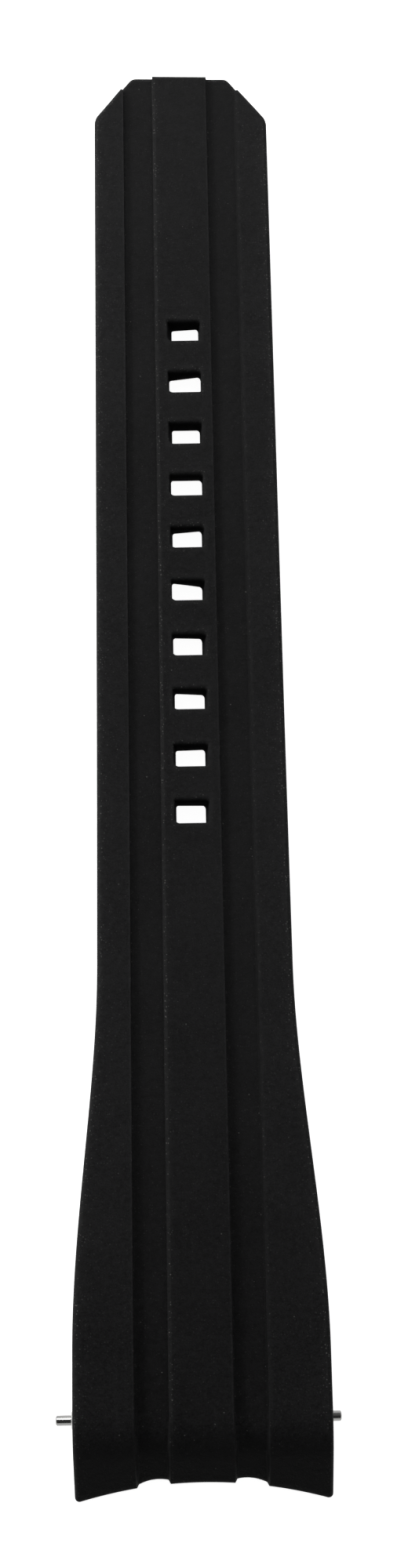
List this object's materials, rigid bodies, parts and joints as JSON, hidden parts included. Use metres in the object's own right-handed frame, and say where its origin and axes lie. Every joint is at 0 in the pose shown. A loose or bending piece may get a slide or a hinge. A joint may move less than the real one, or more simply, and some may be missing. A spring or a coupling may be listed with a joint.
{
  "type": "watch strap half",
  "caption": "Tail half of a moulded silicone watch strap with adjustment holes and a raised centre rib, on its sprung bar.",
  "frame": {"origin": "middle of the footprint, on the surface that the strap lies on", "axes": "+Y from the case end to the tail tip, +Z out of the outer face, X across the strap along the spring bar"},
  "size_m": [0.0221, 0.1266, 0.0048],
  "materials": {
    "silicone": "matt black silicone, moulded",
    "bar_steel": "drawn tube, satin",
    "spring_wire": "drawn spring wire",
    "tip_steel": "turned and polished"
  },
  "bodies": {
    "strap": {"strap_body": "silicone"},
    "spring_bar": {"bar_tube": "bar_steel", "bar_spring": "spring_wire"},
    "left_pin": {"left_plunger": "tip_steel"},
    "right_pin": {"right_plunger": "tip_steel"}
  },
  "joints": [
    {"name": "bar_spin", "type": "hinge", "parent": "strap", "child": "spring_bar", "pos_m": [0, -0.05716, 0.0024], "axis": [1, 0, 0], "continuous": true},
    {"name": "left_press", "type": "slide", "parent": "spring_bar", "child": "left_pin", "axis": [1, 0, 0], "range_m": [0, 0.0011], "stiffness_N_per_m": 900, "deforming": ["bar_spring"]},
    {"name": "right_press", "type": "slide", "parent": "spring_bar", "child": "right_pin", "axis": [-1, 0, 0], "range_m": [0, 0.0011], "stiffness_N_per_m": 900, "deforming": ["bar_spring"]}
  ]
}
